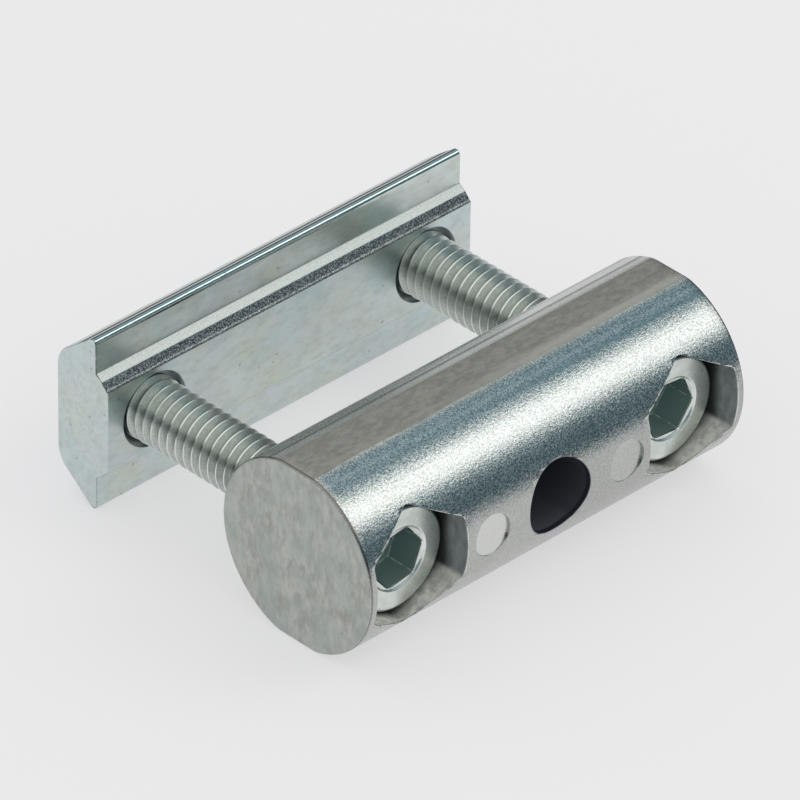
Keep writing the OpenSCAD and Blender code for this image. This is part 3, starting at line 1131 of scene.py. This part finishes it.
def floor_material(look):
    """A matt floor that takes the shadow and adds a pale glow for the camera and for reflections."""
    material, tree = bare_material("studio_floor")
    path = add(tree, "LightPath").outputs
    camera, glossy, through = (Field(path[f"Is {kind} Ray"]) for kind in ("Camera", "Glossy", "Transmission"))
    seen = calc("MINIMUM", camera + glossy + through, 1.0)
    both = add(tree, "AddShader")
    tree.links.new(add(tree, "BsdfDiffuse", Color=look.floor).outputs[0], both.inputs[0])
    tree.links.new(add(tree, "Emission", Color=look.floor_glow, Strength=seen).outputs[0], both.inputs[1])
    show(both)
    return material


def dome_material(look):
    """The dome of cards that the metal mirrors: pale behind the object and over its middle, dark in front."""
    material, tree = bare_material("studio_cards")
    fade = CARD_FADES
    ray = add(tree, "VectorMath", {"operation": "NORMALIZE"})
    plug(ray.inputs[0], Field(add(tree, "TexCoord").outputs["Object"]))
    x, y, z = Field(ray.outputs[0]).parts()
    turn = calc("DEGREES", calc("ARCTAN2", z, y))
    shade = painted(
        look.back_low, (look.back_panel, turn.rise(fade.back_panel)), (look.card, turn.rise(fade.overhead)),
        (look.top_panel, x.fall(fade.top_side) * turn.rise(fade.top_start)),
        (look.right_card, x.rise(fade.right_side)),
        (look.left_card, (x * -1.0).rise(fade.left_side) * z.fall(fade.left_top)),
        (look.horizon, turn.rise(fade.front)))
    show(add(tree, "Emission", Color=shade, Strength=1.0))
    return material


def front_card_material(look):
    """The plain dark card low in front."""
    material, tree = bare_material("front_card")
    show(add(tree, "Emission", Color=look.horizon, Strength=1.0))
    return material


def studio_floor(look):
    """The level floor."""
    bm = bmesh.new()
    bmesh.ops.create_grid(bm, x_segments=1, y_segments=1, size=FLOOR_HALF)
    bmesh.ops.translate(bm, vec=(0, 0, FLOOR_Z), verts=bm.verts)
    floor = loose_object("studio_floor", bm)
    floor.data.materials.append(floor_material(look))
    return floor


def studio_cards(look):
    """The dome and the card low in front, which only reflections see."""
    bm = bmesh.new()
    bmesh.ops.create_uvsphere(bm, u_segments=DOME_SEGMENTS, v_segments=DOME_SEGMENTS // 2, radius=DOME_RADIUS)
    dome = loose_object("studio_cards", bm)
    dome.data.materials.append(dome_material(look))
    bm = bmesh.new()
    bmesh.ops.create_grid(bm, x_segments=1, y_segments=1, size=FRONT_CARD_HALF, matrix=UPRIGHT)
    bmesh.ops.scale(bm, vec=(1, 1, FRONT_CARD_HEIGHT / (2 * FRONT_CARD_HALF)), verts=bm.verts)
    bmesh.ops.translate(bm, vec=(0, FRONT_CARD_Y, FLOOR_Z + FRONT_CARD_HEIGHT / 2), verts=bm.verts)
    front_card = loose_object("front_card", bm)
    front_card.data.materials.append(front_card_material(look))
    for card in (dome, front_card):
        card.visible_camera = False
        card.visible_diffuse = False
        card.visible_shadow = False
    return dome, front_card


def key_light(look):
    """A soft rectangular light that faces the object, with its width along the barrel."""
    light = bpy.data.lights.new("key_softbox", "AREA")
    light.shape = "RECTANGLE"
    light.size, light.size_y = KEY_WIDTH, KEY_HEIGHT
    light.energy = KEY_RADIANCE * math.pi * KEY_WIDTH * KEY_HEIGHT
    light.color = look.key
    obj = bpy.data.objects.new("key_softbox", light)
    towards = Vector(KEY_DIRECTION).normalized()
    across = (Vector((1, 0, 0)) - towards * towards.x).normalized()
    turn = Matrix((across, towards.cross(across), towards)).transposed().to_4x4()
    obj.matrix_world = Matrix.Translation(towards * KEY_DISTANCE) @ turn
    bpy.context.scene.collection.objects.link(obj)


def surround_light(look):
    """Even light from all round."""
    world = bpy.data.worlds.new("studio")
    bpy.context.scene.world = world
    world.use_nodes = True
    world.node_tree.nodes["Background"].inputs["Color"].default_value = (*look.surround, 1.0)


def place_camera(look):
    """The camera at the photograph's viewing angle, with the barrel's middle at its pixel."""
    level = Vector((math.cos(look.azimuth), math.sin(look.azimuth), 0))
    forward = Vector((-math.sin(look.azimuth), math.cos(look.azimuth), 0))
    back = Vector((0, 0, math.sin(look.elevation))) - forward * math.cos(look.elevation)
    upright = back.cross(level)
    right = level * math.cos(look.roll) + upright * math.sin(look.roll)
    up = upright * math.cos(look.roll) - level * math.sin(look.roll)
    across = (ORIGIN_PIXEL[0] - PHOTO_SIDE / 2) / PIXELS_PER_MM * MM
    above = (PHOTO_SIDE / 2 - ORIGIN_PIXEL[1]) / PIXELS_PER_MM * MM
    data = bpy.data.cameras.new("photo_camera")
    data.sensor_width = SENSOR_WIDTH
    data.lens = PIXELS_PER_MM / MM * look.distance / PHOTO_SIDE * SENSOR_WIDTH
    data.clip_start, data.clip_end = CLIP_START, CLIP_END
    camera = bpy.data.objects.new("photo_camera", data)
    turn = Matrix((right, up, back)).transposed().to_4x4()
    camera.matrix_world = Matrix.Translation(back * look.distance - right * across - up * above) @ turn
    bpy.context.scene.collection.objects.link(camera)
    bpy.context.scene.camera = camera


# Operators

class YOKE_OT_make_barrel(bpy.types.Operator):
    """Make the die-cast barrel with its pockets, holes, bore and ejector marks"""

    bl_idname = "yoke.make_barrel"
    bl_label = "Make barrel"

    def execute(self, context):
        size = values_of(context.scene.yoke_barrel)
        # Among these colours, the darkest pocket colour is painted shade deep in the pockets, and the darker
        # zinc also paints shade low on the right of the front
        look = SimpleNamespace(
            **vars(size), dull=times(size.metal, 0.85), grain_dark=times(size.metal, 0.58),
            grain_bright=times(size.metal, 1.42), cast_skin_dark=times(size.cast_skin, 0.75),
            flat_edge=times(size.cast_skin, 1.35), end_metal_dark=times(size.end_metal, 0.72),
            pocket_metal_dark=times(size.pocket_metal, 0.6), pocket_foot=times(size.pocket_metal, 0.15),
            pit=times(size.end_metal, 0.4))
        finished_piece(
            "cast_barrel", cast_barrel(size), barrel_finish(look), "barrel", "yoke_barrel")
        return {"FINISHED"}


class YOKE_OT_make_screws(bpy.types.Operator):
    """Make the two threaded cap screws"""

    bl_idname = "yoke.make_screws"
    bl_label = "Make cap screws"

    def execute(self, context):
        size = values_of(context.scene.yoke_screw)
        finish = screw_finish(SimpleNamespace(**vars(size), dull=times(size.metal, 0.7)))
        for side, sign, turn in (("left", -1, size.left_turn), ("right", 1, size.right_turn)):
            bm = cap_screw(size, sign * SCREW_X / MM, turn)
            finished_piece(
                f"threaded_screw_{side}", bm, finish, f"{side}_screw", f"cap_screw_{side}")
        return {"FINISHED"}


class YOKE_OT_make_nut(bpy.types.Operator):
    """Make the slot nut with its neck, lips and tapped holes"""

    bl_idname = "yoke.make_nut"
    bl_label = "Make slot nut"

    def execute(self, context):
        size = values_of(context.scene.yoke_nut)
        thread = values_of(context.scene.yoke_screw)
        # The darkest nut colour paints the pits and the painted shade under the lower lip
        look = SimpleNamespace(
            **vars(size), mouth=hole_radius(size, thread) + size.countersink, pit=times(size.metal, 0.4),
            scale_speck=times(size.metal, 0.42), smear=times(size.metal, 0.7))
        finished_piece(
            "tapped_slot_nut", slot_nut(size, thread), nut_finish(look), "nut", "slot_nut")
        return {"FINISHED"}


class YOKE_OT_set_stage(bpy.types.Operator):
    """Set the floor, the light and the camera"""

    bl_idname = "yoke.set_stage"
    bl_label = "Set stage"

    def execute(self, context):
        look = context.scene.yoke_stage
        studio_floor(look)
        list(studio_cards(look))
        key_light(look)
        surround_light(look)
        context.scene.view_settings.view_transform = "Standard"
        place_camera(look)
        return {"FINISHED"}


class YOKE_PT_panel(bpy.types.Panel):
    """The steps that build the connector and its stage"""

    bl_idname = "YOKE_PT_panel"
    bl_label = "Yoke connector"
    bl_space_type = "VIEW_3D"
    bl_region_type = "UI"
    bl_category = "Yoke"

    def draw(self, context):
        for step in STEPS:
            self.layout.operator(step.bl_idname)


STEPS = (YOKE_OT_make_barrel, YOKE_OT_make_screws, YOKE_OT_make_nut, YOKE_OT_set_stage)
SETTINGS = {
    "yoke_barrel": YokeBarrelSettings, "yoke_screw": YokeScrewSettings, "yoke_nut": YokeNutSettings,
    "yoke_stage": YokeStageSettings}


def register():
    """Registers the classes and hangs the settings on the scene."""
    for cls in (*SETTINGS.values(), *STEPS, YOKE_PT_panel):
        bpy.utils.register_class(cls)
    for name, cls in SETTINGS.items():
        setattr(bpy.types.Scene, name, PointerProperty(type=cls))


def unregister():
    """Takes the settings and classes away again."""
    for name in SETTINGS:
        delattr(bpy.types.Scene, name)
    for cls in reversed((*SETTINGS.values(), *STEPS, YOKE_PT_panel)):
        bpy.utils.unregister_class(cls)


def main():
    """Builds the effects, the pieces and the stage in order."""
    register()
    for make_group in (grain_group, blotch_group, pit_group, wear_group):
        make_group()
    bpy.ops.yoke.make_barrel()
    bpy.ops.yoke.make_screws()
    bpy.ops.yoke.make_nut()
    bpy.ops.yoke.set_stage()


if __name__ == "__main__":
    main()
